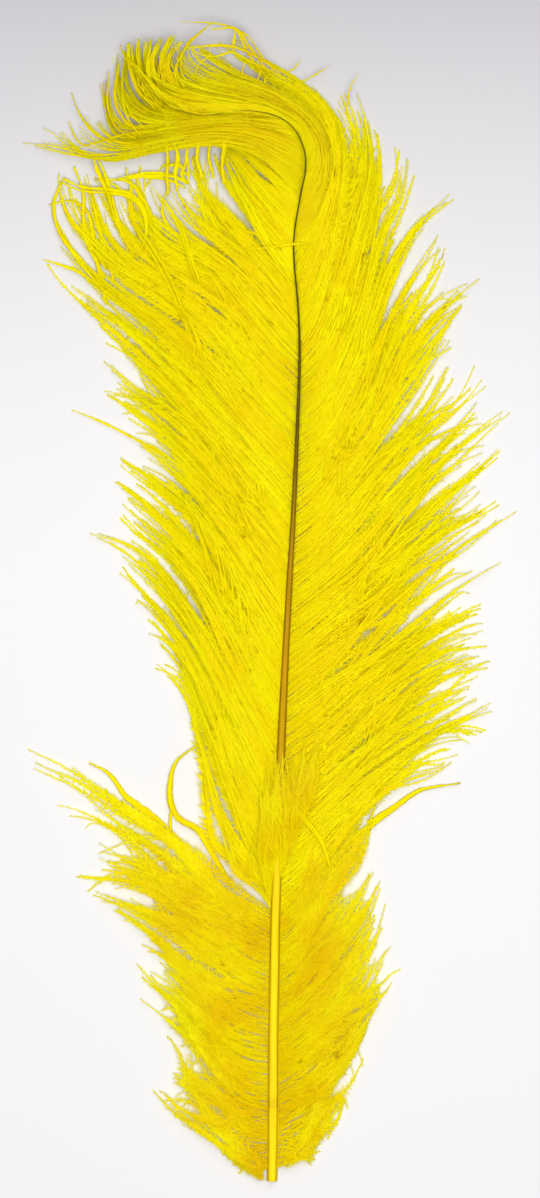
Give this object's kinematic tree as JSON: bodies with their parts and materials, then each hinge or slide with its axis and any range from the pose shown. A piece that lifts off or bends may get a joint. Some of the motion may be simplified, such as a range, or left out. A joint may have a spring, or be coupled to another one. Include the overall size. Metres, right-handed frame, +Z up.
{
  "type": "ostrich feather",
  "caption": "Curled ostrich wing plume with a cut quill and soft, yellow-dyed barbs in tapering locks, lying flat on a surface.",
  "frame": {"origin": "centre of the feather's bounding box, on the surface that it lies on", "axes": "+Y from the quill's cut end towards the curled top, +Z up from the surface, +X to the right seen from above"},
  "size_m": [0.174, 0.402, 0.0208],
  "materials": {
    "dyed_barbs": "soft dyed barbs, dull, with a satin quill"
  },
  "bodies": {
    "root": {"feather": "dyed_barbs"}
  },
  "joints": []
}
